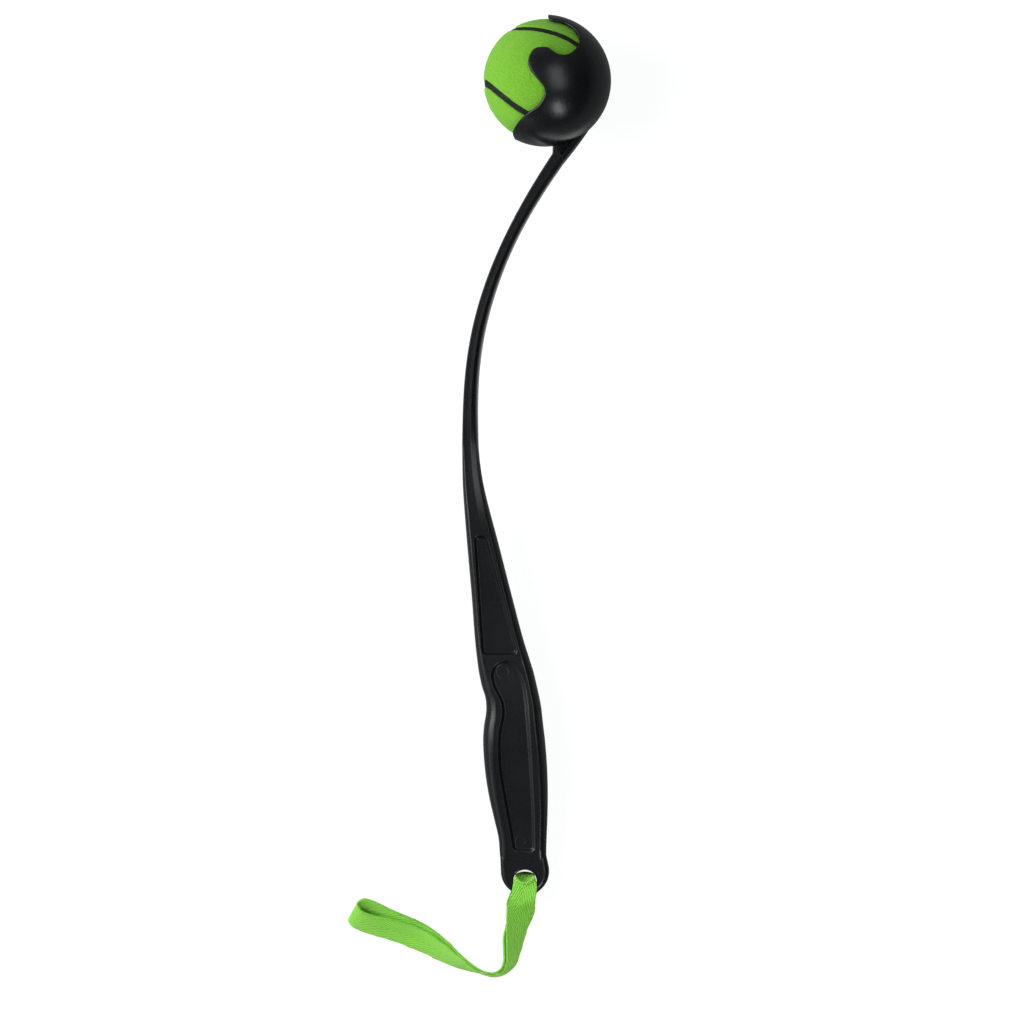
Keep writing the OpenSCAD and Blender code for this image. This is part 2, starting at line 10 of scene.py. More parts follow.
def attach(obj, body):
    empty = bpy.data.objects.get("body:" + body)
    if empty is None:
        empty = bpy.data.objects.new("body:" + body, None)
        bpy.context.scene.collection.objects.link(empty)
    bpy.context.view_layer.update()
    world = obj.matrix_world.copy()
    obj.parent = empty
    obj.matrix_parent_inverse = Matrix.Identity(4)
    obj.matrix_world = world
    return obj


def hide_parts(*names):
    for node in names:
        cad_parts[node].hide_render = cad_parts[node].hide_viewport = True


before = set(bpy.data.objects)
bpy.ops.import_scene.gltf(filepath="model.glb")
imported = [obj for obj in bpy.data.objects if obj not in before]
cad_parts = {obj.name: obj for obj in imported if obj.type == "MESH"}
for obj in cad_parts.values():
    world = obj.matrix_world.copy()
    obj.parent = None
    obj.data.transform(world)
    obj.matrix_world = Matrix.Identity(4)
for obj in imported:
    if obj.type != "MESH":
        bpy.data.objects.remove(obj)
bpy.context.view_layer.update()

# Lie of the launcher: it is drawn flat about its strap hole, in millimetres, then tipped onto cup and palm
MM = 0.001
LIE_ANGLE = radians(3.6885)
HOLE_AT = Vector((24.125, -201.789, 7.51622))
LYING = Matrix.Scale(MM, 4) @ Matrix.Translation(HOLE_AT) @ Matrix.Rotation(LIE_ANGLE, 4, "X")
LEVEL = Matrix.Scale(MM, 4) @ Matrix.Translation((HOLE_AT.x, HOLE_AT.y, 0))


# Curves through listed stations

def along(table, x, k=1):
    """Smooth value of column k of a table at x."""
    i = 0
    while i < len(table) - 2 and x >= table[i + 1][0]:
        i += 1

    def slope(j):
        a, b = table[max(j - 1, 0)], table[min(j + 1, len(table) - 1)]
        return (b[k] - a[k]) / (b[0] - a[0])

    h = table[i + 1][0] - table[i][0]
    t = min(max((x - table[i][0]) / h, 0), 1)
    s = t * t * (3 - 2 * t)
    bend = h * t * (1 - t) * ((1 - t) * slope(i) - t * slope(i + 1))
    return table[i][k] * (1 - s) + table[i + 1][k] * s + bend


def through(points, x):
    """Point on an even curve through points, x counted in points."""
    n = len(points)
    i = min(int(floor(x)), n - 2)
    t = x - i
    p0, p1, p2, p3 = (Vector(points[min(max(j, 0), n - 1)]) for j in (i - 1, i, i + 1, i + 2))
    return 0.5 * (2 * p1 + (p2 - p0) * t + (2 * p0 - 5 * p1 + 4 * p2 - p3) * t ** 2
                  + (3 * p1 - p0 - 3 * p2 + p3) * t ** 3)


def ease(x):
    """Smooth step from 0 to 1, for numbers and arrays."""
    x = np.clip(x, 0, 1)
    return x * x * (3 - 2 * x)


def ramp(x, soft=0.2):
    """Straight rise from 0 to 1 with softened ends, for arrays."""
    x = np.clip(x, 0, 1)
    low = x * x / (2 * soft)
    high = 1 - soft - (1 - x) ** 2 / (2 * soft)
    return np.where(x < soft, low, np.where(x > 1 - soft, high, x - soft / 2)) / (1 - soft)


def depth_inside(outline, x, y):
    """Distance of points inside a closed outline, negative outside."""
    a = np.array(outline, float)
    b = np.roll(a, -1, axis=0)
    best = np.full(np.shape(x), 1e9)
    inside = np.zeros(np.shape(x), bool)
    for (ax, ay), (bx, by) in zip(a, b):
        run = max((bx - ax) ** 2 + (by - ay) ** 2, 1e-12)
        t = np.clip(((x - ax) * (bx - ax) + (y - ay) * (by - ay)) / run, 0, 1)
        best = np.minimum(best, np.hypot(x - ax - t * (bx - ax), y - ay - t * (by - ay)))
        if ay != by:
            inside ^= ((ay > y) != (by > y)) & (x < (bx - ax) * (y - ay) / (by - ay) + ax)
    return np.where(inside, best, -best)


def rounded(outline, r, steps=6):
    """Outline with each corner rounded to radius r."""
    found = []
    n = len(outline)
    for i in range(n):
        p = Vector(outline[i])
        a = (Vector(outline[i - 1]) - p).normalized()
        b = (Vector(outline[(i + 1) % n]) - p).normalized()
        half = acos(max(-1, min(1, a.dot(b)))) / 2
        mid = (a + b).normalized()
        centre = p + mid * r / sin(half)
        turn = pi / 2 - half
        way = Vector((-mid.y, mid.x)) * (1 if a.cross(b) > 0 else -1)
        found += [tuple(centre - r * (mid * cos(w) - way * sin(w)))
                  for w in (turn * (2 * k / steps - 1) for k in range(steps + 1))]
    return found


# Shading

class Wire:
    """A shader socket that takes arithmetic. Each operation adds a Math node."""

    def __init__(self, tree, socket):
        self.tree, self.socket = tree, socket

    def make(self, kind, settings=None, out=0, **sockets):
        """Any other node: its type, its settings, its output, and the values or links of its sockets.

        A socket is named with underscores for spaces, or by its number after one underscore.
        """
        node = self.tree.nodes.new("ShaderNode" + kind)
        for key, value in (settings or {}).items():
            setattr(node, key, value)
        for key, value in sockets.items():
            socket = node.inputs[int(key[1:]) if key[0] == "_" else key.replace("_", " ")]
            if isinstance(value, Wire):
                self.tree.links.new(value.socket, socket)
            elif hasattr(value, "__len__") and len(value) == 3 and socket.type == "RGBA":
                socket.default_value = (*value, 1)
            else:
                socket.default_value = value
        return Wire(self.tree, node.outputs[out])

    def maths(self, operation, a, b=0.0, c=0.0):
        return self.make("Math", {"operation": operation}, _0=a, _1=b, _2=c)

    def __add__(self, other):
        return self.maths("ADD", self, other)

    __radd__ = __add__

    def __mul__(self, other):
        return self.maths("MULTIPLY", self, other)

    __rmul__ = __mul__

    def __sub__(self, other):
        return self.maths("SUBTRACT", self, other)

    def __rsub__(self, other):
        return self.maths("SUBTRACT", other, self)

    def __truediv__(self, other):
        return self.maths("DIVIDE", self, other)

    def __pow__(self, other):
        return self.maths("POWER", self, other)

    def __abs__(self):
        return self.maths("ABSOLUTE", self)

    def sine(self):
        return self.maths("SINE", self)

    def most(self, other):
        return self.maths("MAXIMUM", self, other)

    def step(self, low, high):
        """Smooth step of this value, 0 at low and 1 at high."""
        return self.make("MapRange", {"interpolation_type": "SMOOTHSTEP"},
                         Value=self, From_Min=low, From_Max=high)

    def blend(self, a, b):
        """Colour a where this value is 0, and b where it is 1, by the colour sockets of a Mix node."""
        return self.make("Mix", {"data_type": "RGBA"}, 2, _0=self, _6=a, _7=b)

    def axis(self, k):
        return self.make("SeparateXYZ", None, k, Vector=self)

    def noise(self, scale, detail=3.0, roughness=0.5, stretch=None):
        """Noise on this vector, about one feature per 1/scale metres."""
        place = self
        if stretch:
            place = self.make("VectorMath", {"operation": "MULTIPLY"}, _0=self, _1=stretch)
        return self.make("TexNoise", Vector=place, Scale=scale, Detail=detail, Roughness=roughness)

    def bump(self, height, over=None):
        """Normal of this value as a relief of that height in metres, laid on the normal over if given."""
        under = {"Normal": over} if over else {}
        return self.make("Bump", Height=self, Strength=1.0, Distance=height, **under)


def finish_of(name, **constants):
    """A new material, its Object coordinates as a wire, and a function that links wires to its shader."""
    material = bpy.data.materials.new(name)
    material.use_nodes = True
    tree = material.node_tree
    shader = tree.nodes["Principled BSDF"]
    for key, value in constants.items():
        shader.inputs[key.replace("_", " ")].default_value = value
    start = Wire(tree, shader.outputs[0]).make("TexCoord", out="Object")

    def put(**wires):
        for key, wire in wires.items():
            tree.links.new(wire.socket, shader.inputs[key.replace("_", " ")])
    return material, start, put


# Marks of ejector pins in the grip's floor, in metres: place and radius of each, and width of their grooves
PIN_MARKS = [(0.0126, -0.0916, 0.0031), (0.022, -0.1807, 0.0026)]
PIN_GROOVE = 0.0005


def moulded_black():
    material, place, put = finish_of("moulded_black", IOR=1.42)
    grain = place.noise(2600, 2)
    cloud = place.noise(38, 4)
    scuff = place.noise(240, 3, stretch=(1.0, 0.12, 1.0))
    dust = place.noise(900, 1).step(0.76, 0.82)
    rub = scuff.step(0.62, 0.85)
    groove = 0.0
    for x, y, r in PIN_MARKS:
        off = ((place.axis(0) - x) ** 2 + (place.axis(1) - y) ** 2) ** 0.5
        groove = (1 - abs(off - r).step(0, PIN_GROOVE)) + groove
    tone = cloud.blend((0.0042, 0.0046, 0.0052), (0.0068, 0.0074, 0.0084))
    put(Base_Color=(dust * 0.12 + rub * 0.08).blend(tone, (0.06, 0.063, 0.066)),
        Roughness=(cloud * 0.1 + rub * 0.06 + 0.22),
        Normal=grain.bump(0.00002, scuff.bump(0.00003, (0 - groove).bump(0.00005))))
    return material


def felt_green():
    material, place, put = finish_of("felt_green", Sheen_Weight=0.2, Sheen_Roughness=0.5,
                                     Sheen_Tint=(0.7, 1.0, 0.4, 1))
    tuft = place.noise(1300, 4, 0.65)
    hair = place.noise(3000, 2, 0.6, (1.0, 0.35, 0.6))
    patch = place.noise(120, 3)
    mat = (tuft * 0.5 + hair * 0.5).step(0.3, 0.7)
    deep = patch.blend((0.135, 0.4, 0.009), (0.155, 0.43, 0.012))
    pale = patch.blend((0.225, 0.57, 0.022), (0.25, 0.61, 0.03))
    put(Base_Color=mat.blend(deep, pale), Roughness=mat * 0.12 + 0.82,
        Normal=tuft.bump(0.0006, hair.bump(0.0004)))
    return material


def seam_rubber():
    material, place, put = finish_of("seam_rubber", Specular_IOR_Level=0.2)
    crumb = place.noise(1300, 3, 0.6)
    lint = place.noise(700, 2, 0.6, (1.0, 0.3, 0.6)).step(0.6, 0.75)
    tone = crumb.blend((0.005, 0.006, 0.005), (0.022, 0.027, 0.022))
    put(Base_Color=(lint * 0.35).blend(tone, (0.1, 0.2, 0.02)), Roughness=crumb * 0.2 + 0.7,
        Normal=crumb.bump(0.0005))
    return material


def core_rubber():
    material, place, put = finish_of("core_rubber")
    crumb = place.noise(500, 4, 0.6)
    put(Base_Color=crumb.blend((0.05, 0.055, 0.048), (0.1, 0.105, 0.09)), Roughness=crumb * 0.2 + 0.65,
        Normal=crumb.bump(0.0003))
    return material


def woven_lime():
    """Herringbone tape. Its UV map is in metres: across from the middle line, and along."""
    rib_across, rib_along, pick_pitch = 1.4, 3.4, 0.62
    material, place, put = finish_of("woven_lime", Sheen_Weight=0.2, Sheen_Roughness=0.45,
                                     Sheen_Tint=(0.8, 1.0, 0.6, 1), Subsurface_Weight=0.35,
                                     Subsurface_Radius=(0.6, 1.0, 0.3), Subsurface_Scale=0.0015)
    flat = place.make("UVMap", {"uv_map": "tape"})
    across, run = flat.axis(0) * 1000, flat.axis(1) * 1000
    sway = place.noise(160, 2) * 0.5
    rib = ((abs(across) / rib_across - run / rib_along + sway) * 2 * pi).sine() * 0.5 + 0.5
    pick = (run * (2 * pi / pick_pitch)).sine() * 0.5 + 0.5
    middle = abs(across).step(0.0, 0.5)
    hem = abs(across).step(6.6, 7.2)
    cord = rib * 0.72 * (1 - hem) + pick * (0.28 + hem * 0.6)
    fray = place.noise(2400, 3, 0.6)
    shade = (cord * 0.85 + fray * 0.15) * (middle * 0.25 + 0.75)
    tone = place.noise(60, 3).blend((0.32, 0.83, 0.065), (0.37, 0.88, 0.085))
    put(Base_Color=shade.step(0.1, 0.75).blend((0.2, 0.57, 0.04), tone), Roughness=fray * 0.15 + 0.68,
        Normal=cord.bump(0.0003, fray.bump(0.0001)))
    return material


def sewing_thread():
    material, place, put = finish_of("sewing_thread", Sheen_Weight=0.25)
    turns = 5200
    twist = (place.axis(0) * turns + place.axis(2) * turns).sine() * 0.5 + 0.5
    fluff = place.noise(3000, 2)
    put(Base_Color=twist.blend((0.13, 0.36, 0.02), (0.26, 0.6, 0.07)), Roughness=fluff * 0.2 + 0.55,
        Normal=twist.bump(0.0002))
    return material


BLACK, FELT, SEAM, CORE, TAPE, THREAD = (
    make() for make in (moulded_black, felt_green, seam_rubber, core_rubber, woven_lime, sewing_thread))


# Meshes

WELD = 2e-6


def net(name, rows, columns, place, body, material, replaced=(), tape=None, capped=False,
        crease=40):
    """A grid of rows and columns, each point set by place and welded where the grid meets itself.

    A tape function gives the UV map of a webbing. Open ends are closed if capped is set.
    """
    bm = bmesh.new()
    layer = bm.loops.layers.uv.new("tape") if tape else None
    bmesh.ops.create_grid(bm, x_segments=columns, y_segments=rows, size=1)
    cell = {v: (round((v.co.y + 1) / 2 * rows), round((v.co.x + 1) / 2 * columns)) for v in bm.verts}
    if tape:
        for face in bm.faces:
            for loop in face.loops:
                loop[layer].uv = tape(*cell[loop.vert])
    for v in bm.verts:
        v.co = place(*cell[v])
    bmesh.ops.remove_doubles(bm, verts=bm.verts, dist=WELD)
    bmesh.ops.dissolve_degenerate(bm, edges=bm.edges, dist=WELD)
    if capped:
        bmesh.ops.holes_fill(bm, edges=[e for e in bm.edges if e.is_boundary])
    bmesh.ops.recalc_face_normals(bm, faces=bm.faces)
    return piece_of(bm, name, body, material, replaced, crease)


def piece_of(bm, name, body, material, replaced=(), crease=40):
    """Turns a finished bmesh into a piece that rides on a body, sharp at edges past crease degrees."""
    for face in bm.faces:
        face.smooth = True
    for edge in bm.edges:
        edge.smooth = not edge.is_manifold or edge.calc_face_angle(0) < radians(crease)
    mesh = bpy.data.meshes.new(name)
    bm.to_mesh(mesh)
    bm.free()
    piece = bpy.data.objects.new(name, mesh)
    bpy.context.scene.collection.objects.link(piece)
    mesh.materials.append(material)
    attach(piece, body)
    if replaced:
        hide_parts(*replaced)
    return piece


# Ball and cup sizes
BALL_R = 32.5
CUP_INNER, CUP_OUTER = 32.8, 34.6
CUP_AT = Vector((10.5, 421, 0))
CUP = LYING @ Matrix.Translation(CUP_AT)


def between(a, b, t):
    """Unit vector part of the way along the great circle from a to b."""
    w = a.angle(b)
    return a.copy() if w < 1e-7 else (a * sin(w * (1 - t)) + b * sin(w * t)) / sin(w)


# Cup: rim seen from the side, in cup radii, from the top prong to the bottom prong
RIM = [(0.03, 1.1), (0.07, 0.96), (0.29, 0.91), (0.45, 0.81), (0.53, 0.67), (0.5, 0.55), (0.38, 0.445),
       (0.26, 0.425), (0.15, 0.46), (0.06, 0.525), (-0.035, 0.545), (-0.16, 0.52), (-0.24, 0.42),
       (-0.265, 0.3), (-0.24, 0.2), (-0.17, 0.11), (-0.09, 0.015), (-0.02, -0.075), (-0.01, -0.17),
       (-0.05, -0.27), (-0.13, -0.37), (-0.26, -0.46), (-0.385, -0.585), (-0.47, -0.705), (-0.5, -0.8),
       (-0.47, -0.9), (-0.44, -1.1)]
# Place on the cup's outline, in degrees, that each rim point is joined to
JOINED = [90, 86, 71, 58, 46, 37, 26, 13, -4, -18, -27, -35, -42, -47, -50.5, -52.5, -54, -57, -62, -70,
          -79, -90, -100, -108, -114, -118.7, -120]


def on_ball(p):
    """Point of the unit ball above a point of its outline's plane."""
    return Vector((p.x, p.y, sqrt(max(1 - p.x ** 2 - p.y ** 2, 0)))).normalized()


def rim_at(x):
    """Point of the rim on the unit ball, x counted in rim points."""
    return on_ball(through(RIM, x))


def cup_shell():
    """The cup in lanes from its outline over the rim's lip to the inside, mirrored below."""
    fine, nearby = 24, 0.02
    marks = [k / fine for k in range((len(RIM) - 1) * fine + 1)]
    marks = [x for x in marks if through(RIM, x).length <= 1]
    runs = [0.0]
    for a, b in zip(marks, marks[1:]):
        runs.append(runs[-1] + (rim_at(b) - rim_at(a)).length)
    count, steps, turn_steps = 260, 40, 8
    half = (CUP_OUTER - CUP_INNER) / 2
    mid = CUP_OUTER - half
    joined = list(enumerate(JOINED))
    lanes = []
    for k in range(count + 1):
        x = float(np.interp(runs[-1] * k / count, runs, marks))
        edge = rim_at(x)
        ahead = rim_at(min(x + nearby, marks[-1])) - rim_at(max(x - nearby, marks[0]))
        out = ahead.cross(edge).normalized()
        turn = radians(along(joined, x))
        goal = Vector((cos(turn), sin(turn)))
        base = (edge - out * half / mid).normalized()
        flat = base.xy if base.z > 0 else edge.xy
        lane = [on_ball(flat.lerp(goal, 1 - (1 - i / steps) ** 2)) for i in range(steps + 1)]
        lane[-1] = Vector((goal.x, goal.y, 0))
        lip = [lane[0] * (mid + half * cos(pi * i / turn_steps)) + out * half * sin(pi * i / turn_steps)
               for i in range(turn_steps + 1)]
        outer = [p * CUP_OUTER for p in reversed(lane)]
        inner = [p * CUP_INNER for p in lane]
        lanes.append(outer + lip[1:-1] + inner)

    def place(i, j):
        lane = lanes[j]
        n = len(lane) - 1
        p = lane[n - i] if i <= n else lane[i - n]
        return CUP @ (p if i <= n else Vector((p.x, p.y, -p.z)))
    rows = 2 * (len(lanes[0]) - 1)
    return net("cup_shell", rows, count, place, "launcher", BLACK, ["cup"], crease=60)


cup_shell()

# Handle and arm: outline, thickness and rounding along the way, in shares from the foot to the neck
FOOT_AT, NECK_AT, NECK_X, NECK_W, ARM_W, ARM_T = 14.0, 230.0, -28.7, 8.4, 6.8, 12.4
SKIRT_AT = 9.0
OUTLINE = [
    (-0.023, -12.7, 12), (-0.012, -12.85, 11.5), (0, -13.1, 11.1), (0.04, -13.8, 11.3), (0.085, -16, 11.7),
    (0.135, -18.5, 11.9), (0.18, -20.2, 11.8),
    (0.23, -21.4, 11.3), (0.28, -21.9, 10.4), (0.315, -21.4, 9.5), (0.34, -20.5, 8.9), (0.36, -20.2, 8.4),
    (0.385, -20.8, 7.4), (0.41, -22.5, 6.2), (0.445, -24.1, 4.4), (0.475, -25, 2.4), (0.525, -26.2, -1),
    (0.62, -27.7, -6.4), (0.765, -30.4, -14.4), (0.86, -32, -19.8), (0.91, -32.6, -22.2),
    (0.96, -32.8, -23.8), (1, NECK_X - NECK_W / 2, NECK_X + NECK_W / 2)]
THICKNESS = [(-0.023, 5.16), (-0.011, 5.3), (0.001, 6), (0.014, 6.7), (0.27, 12), (0.52, 9.2), (0.78, 9.2),
             (1, ARM_T / 2)]
LEFT_ROUND = [(-0.023, 3.4), (0, 4), (0.1, 5.2), (0.27, 6.2), (0.4, 5), (0.49, 2.8), (0.78, 2.4), (0.9, 1.6),
              (1, 0.6)]
RIGHT_ROUND = [(-0.023, 3.2), (0, 3.2), (0.1, 3.8), (0.27, 4.4), (0.4, 4), (0.49, 3.6), (0.78, 3), (1, 1.6)]
GRIP_RECESS = [
    (0.011, -4.6, 2.8), (0.014, -5.8, 3.9), (0.02, -6.4, 4.3), (0.065, -8, 4.3), (0.135, -10.7, 3.8),
    (0.2, -13.2, 3), (0.265, -14.1, 2.2), (0.31, -13.4, 1.6), (0.345, -11.9, 1), (0.375, -12.6, 0.5),
    (0.41, -16.2, -0.6), (0.432, -17.6, -2), (0.45, -17.4, -3.9), (0.463, -16, -5.9), (0.471, -13.7, -8),
    (0.475, -11.6, -9.8)]
LABEL_PANEL = [(0.49, -22.6, -3.6), (0.525, -23.1, -5.6), (0.62, -24.4, -11.1), (0.78, -26.8, -20.3)]
RECESS, LABEL_Z, LABEL_CORNER, PANEL_FROM = 1.8, 7.4, 2.3, 0.48
# Spine of the arm: from the neck to its root beside the cup, and on as a stub into the cup's wall
LEAN_ANGLE, ROOT_ANGLE = radians(33.5), radians(-75.6)
ROOT_OFF, ROOT_BACK, NECK_PULL, ROOT_PULL, STUB_RUN = 2.9, 6, 40, 84, 22
LEAN = Vector((sin(LEAN_ANGLE), cos(LEAN_ANGLE)))
ROOT = CUP_AT.xy + (CUP_OUTER + ROOT_OFF) * Vector((cos(ROOT_ANGLE), sin(ROOT_ANGLE))) - ROOT_BACK * LEAN
PULL = [Vector((NECK_X, NECK_AT)), Vector((NECK_X, NECK_AT + NECK_PULL)), ROOT - ROOT_PULL * LEAN, ROOT]
ARM_STEPS, STUB_STEPS, ARM_ROUNDS = 90, 60, (0.5, 1.8)
ROOT_RIGHT, ROOT_FLARE, ROOT_RIDGE = 4.3, 1.2, (1, 0.02, -2)
RIDGE_FROM, RIDGE_GAIN, NECK_RIDGE = 0.8, 2.5, (0.28, 4)
CUP_BITE = 0.9
# Pocket on both sides of the root: outline in the root's frame, and height of its floor
POCKET = rounded([(0.8, 3.4), (-4.6, 6.6), (-5.8, 16), (1.6, 16)], 0.6)
POCKET_FLOOR = 2.8
# A section of the moulding: place and heading of its middle, its edges to the left and right, half its
# thickness, roundings of its edges, walls of the recess in it, share of the way (0 at the foot, 1 at the
# neck, 2 at the root), and the ridge along its top: amount, start in widths and lean in degrees
Station = namedtuple("Station", "middle heading left right half round_left round_right wall share ridge")


def handle_y(share):
    return FOOT_AT + share * (NECK_AT - FOOT_AT)


def recess_outline(table):
    """Closed outline of a recess in handle coordinates."""
    shares = np.linspace(table[0][0], table[-1][0], 160)
    left = [(along(table, s, 1), handle_y(s)) for s in shares]
    right = [(along(table, s, 2), handle_y(s)) for s in shares]
    return left + right[::-1]


def clear_of_cup(p):
    """Point of the root kept out of the ball's room, in the wall of the cup."""
    off = p - CUP_AT
    keep = CUP_OUTER - CUP_BITE
    return CUP_AT + off.normalized() * keep if off.length < keep else p


def root_spot(x, y, z):
    """Point in the root's frame, X across the arm to the right and Y along it to the cup."""
    p = ROOT + Vector((LEAN.y, -LEAN.x)) * x + LEAN * y
    return LYING @ clear_of_cup(Vector((p.x, p.y, z)))


def pocket_share(x, run):
    """How far the pocket is sunk at points of the root's frame, from 0 to 1, for arrays."""
    return ease((depth_inside(POCKET, x, run) + 0.15) / 0.5)


def stations():
    """Stations of the moulding: the handle from under its foot, the arm, and the stub into the cup."""
    ys = [SKIRT_AT]
    dense, fine, coarse = [(9, 27), (97, 126), (176, 187)], 0.32, 1.3
    while ys[-1] < NECK_AT - 0.2:
        pace = fine if any(a <= ys[-1] < b for a, b in dense) else coarse
        ys.append(min(ys[-1] + pace, NECK_AT))
    found = []
    for y in ys:
        share = (y - FOOT_AT) / (NECK_AT - FOOT_AT)
        recess = GRIP_RECESS if share < PANEL_FROM else LABEL_PANEL
        found.append(Station(
            Vector((0, y)), Vector((0, 1)), along(OUTLINE, share, 1), along(OUTLINE, share, 2),
            along(THICKNESS, share), along(LEFT_ROUND, share), along(RIGHT_ROUND, share),
            (along(recess, share, 1), along(recess, share, 2)), share,
            (max(0, share - RIDGE_FROM) * RIDGE_GAIN, *NECK_RIDGE)))
    taper = [(0, NECK_W / 2), (0.3, NECK_W / 6 + ARM_W / 3), (0.6, ARM_W / 2)]
    lefts = taper + [(1, ARM_W / 2)]
    rights = taper + [(0.8, 3.2), (0.92, 3.7), (1, ROOT_RIGHT)]
    ridges = [(0, 0.5, *NECK_RIDGE), (0.2, 1, *NECK_RIDGE), (0.7, 1, 0.26, 4), (1, *ROOT_RIDGE)]
    a, b, c, d = PULL
    for k in range(1, ARM_STEPS + 1):
        t = k / ARM_STEPS
        middle = (1 - t) ** 3 * a + 3 * (1 - t) ** 2 * t * b + 3 * (1 - t) * t * t * c + t ** 3 * d
        heading = ((1 - t) ** 2 * (b - a) + 2 * (1 - t) * t * (c - b) + t * t * (d - c)).normalized()
        found.append(Station(
            middle, heading, -along(lefts, t), along(rights, t), ARM_T / 2, *ARM_ROUNDS, None, 1 + t,
            tuple(along(ridges, t, column) for column in (1, 2, 3))))
    for k in range(1, STUB_STEPS + 1):
        found.append(Station(
            ROOT + LEAN * STUB_RUN * k / STUB_STEPS, LEAN, -ARM_W / 2,
            ROOT_RIGHT + ROOT_FLARE * sin(pi / 2 * k / STUB_STEPS), ARM_T / 2, *ARM_ROUNDS, None, 2.0,
            ROOT_RIDGE))
    return found


def section_ring(s):
    """Closed ring of a station's section: from the right parting line over the top to the left, and below.

    Its points lie close together at the walls of the recess, which is sunk later.
    """
    quarter, deep, sharp = 7, 0.75, radians(76)
    counts = [6, 22, 30, 18, 6]
    width, h = s.right - s.left, s.half
    rl, rr, rz = min(s.round_left, width * 0.45), min(s.round_right, width * 0.42), h * deep
    face_l, face_r = s.left + rl, s.right - rr
    room = face_r - face_l
    unit = min(1.0, room / 9)
    wl, wr = s.wall if s.wall else (face_l + room * 0.25, face_r - room * 0.25)
    wl = min(max(wl, face_l + unit), face_r - 6 * unit)
    wr = max(min(wr, face_r - 2 * unit), wl + 5 * unit)
    marks = [face_r, wr + 1.6 * unit, wr - 2 * unit, wl + 2 * unit, wl - 0.6 * unit, face_l]
    face = [marks[0]]
    for a, b, n in zip(marks, marks[1:], counts):
        face += [a + (b - a) * k / n for k in range(1, n + 1)]
    right_arc = [(s.right - rr * (1 - cos(sharp * k / quarter)) / (1 - cos(sharp)),
                  h - rz + rz * sin(sharp * k / quarter) / sin(sharp)) for k in range(quarter)]
    left_arc = [(s.left + rl * (1 - cos(pi / 2 * k / quarter)), h - rz + rz * sin(pi / 2 * k / quarter))
                for k in reversed(range(quarter))]
    parting = [(0.28, 0.0), (0.14, 0.1), (0, 0.13)]
    ring = [(s.right + out, z) for z, out in reversed(parting)]
    ring += right_arc + [(x, h) for x in face] + left_arc
    ring += [(s.left - out, z) for z, out in parting]
    ring += [(x, -z) for x, z in reversed(ring[1:-1])]
    return ring + ring[:1]


def relief(spine, xs, zs):
    """Heights of the rings with the recess, the label panel, the arm's ridge and the root's pocket."""
    def column(values):
        return np.array(list(values))[:, None]

    ys, hs = column(s.middle.y for s in spine), column(s.half for s in spine)
    on_face = np.isclose(np.abs(zs), hs, atol=1e-6) & column(s.share <= 1 for s in spine)

    # Each recess starts a little outside its outline and has a wall of some width, wider at the grip's right
    soft = 0.34
    centre = column(sum(s.wall) / 2 if s.wall else 0.0 for s in spine)
    to_right = ease((xs - centre) / 5)
    grip_depth = depth_inside(recess_outline(GRIP_RECESS), xs, ys)
    sink = ramp((grip_depth + 0.5 + to_right) / (2.1 + 0.6 * to_right), soft)
    (low, low_l, low_r), (high, high_l, high_r) = LABEL_PANEL[0], LABEL_PANEL[-1]
    label_line = rounded([(low_l, handle_y(low)), (high_l, handle_y(high)), (high_r, handle_y(high)),
                          (low_r, handle_y(low))], LABEL_CORNER)
    label = ramp((depth_inside(label_line, xs, ys) + 0.4) / 1.8, soft)
    flat = np.abs(zs) - RECESS * sink
    flat = flat + (LABEL_Z - flat) * label
    zs = np.where(on_face, np.sign(zs) * flat, zs)

    # The ridge: its top falls away to the left, along the lean, and steeply past the middle, in degrees
    fall_left, fall_right, past, blunt = 8, 30, 0.52, 0.15
    amount, start, lean = (column(values) for values in zip(*(s.ridge for s in spine)))
    left, width = column(s.left for s in spine), column(s.right - s.left for s in spine)
    falls = ((left + start * width - xs, fall_left), (xs - left - start * width, lean),
             (xs - left - past * width, fall_right))
    drop = sum((np.hypot(np.maximum(d, 0), blunt) - blunt) * np.tan(np.radians(a)) for d, a in falls)
    zs = zs * (1 - amount * drop / hs)

    # The pocket, in the stations near the root alone
    near_root = column(s.share > 1.8 for s in spine)
    runs = column((s.middle - ROOT).dot(LEAN) for s in spine)
    pit = np.where(near_root, pocket_share(xs, runs), 0)
    return np.sign(zs) * (np.abs(zs) - np.maximum(np.abs(zs) - POCKET_FLOOR, 0) * pit)


def grip_and_arm():
    spine = stations()
    rings = np.array([section_ring(s) for s in spine])
    xs = rings[:, :, 0]
    zs = relief(spine, xs, rings[:, :, 1])

    def place(i, j):
        s = spine[i]
        p = s.middle + Vector((s.heading.y, -s.heading.x)) * float(xs[i, j])
        return LYING @ clear_of_cup(Vector((p.x, p.y, float(zs[i, j]))))
    return net("grip_and_arm", len(spine) - 1, xs.shape[1] - 1, place, "launcher", BLACK,
               ["handle", "arm", "arm_root"], capped=True, crease=38)


grip_and_arm()


